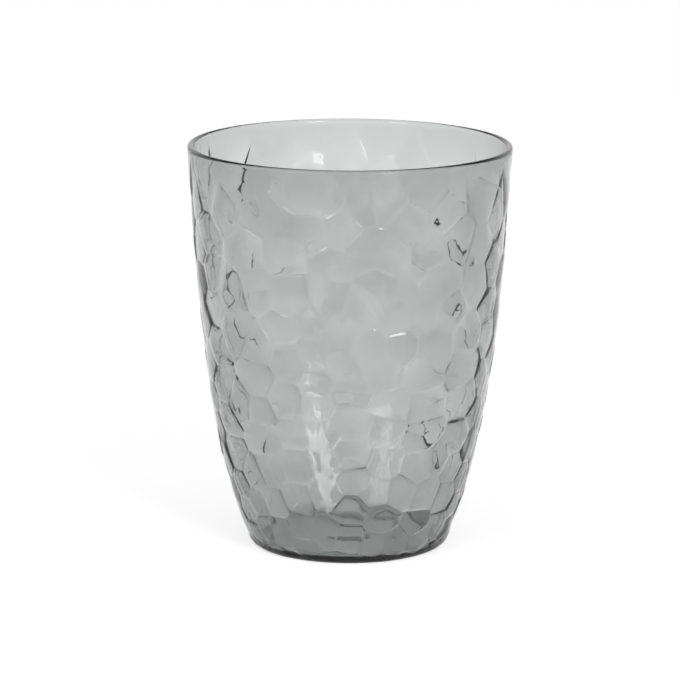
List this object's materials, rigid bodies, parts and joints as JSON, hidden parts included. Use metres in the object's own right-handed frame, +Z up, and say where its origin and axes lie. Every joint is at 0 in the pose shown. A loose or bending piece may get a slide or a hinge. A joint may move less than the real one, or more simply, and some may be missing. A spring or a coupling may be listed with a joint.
{
  "type": "tumbler",
  "caption": "Round flared drinking tumbler of clear smoke grey plastic with a hammered outside, a smooth inside and a flat foot ring.",
  "frame": {"origin": "centre of the foot ring, on the surface that the tumbler stands on", "axes": "+Z up along the cup's axis towards the open rim; the cup is round, and -Y faces the viewer of the picture"},
  "size_m": [0.084, 0.084, 0.1053],
  "materials": {
    "smoke_clear_plastic": "clear and glossy with an even smoke grey tint, smooth inside, low hammered bosses outside"
  },
  "bodies": {
    "root": {"tumbler_body": "smoke_clear_plastic"}
  },
  "joints": []
}
